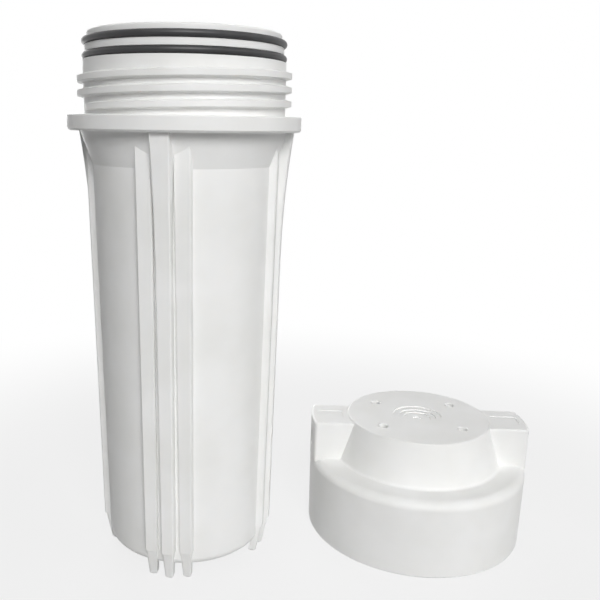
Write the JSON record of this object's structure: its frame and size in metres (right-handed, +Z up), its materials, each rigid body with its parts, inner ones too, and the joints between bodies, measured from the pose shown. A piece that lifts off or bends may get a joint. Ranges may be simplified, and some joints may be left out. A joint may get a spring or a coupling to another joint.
{
  "type": "water filter housing",
  "caption": "White moulded filter housing shown open: ribbed round bowl with threaded neck, wrench flange and black seal rings, beside its cap with side ports.",
  "frame": {"origin": "on the floor, under the middle of the box round the sump and the cap beside it", "axes": "+Z up along the sump; +X from the sump towards the cap and along the cap's port wings; +Y to the back"},
  "size_m": [0.2268, 0.1338, 0.246],
  "materials": {
    "white_plastic": "moulded, semi-gloss",
    "seal_rubber": "moulded, satin"
  },
  "bodies": {
    "root": {"sump": "white_plastic", "cap": "white_plastic", "upper_o_ring": "seal_rubber", "lower_o_ring": "seal_rubber"}
  },
  "joints": []
}
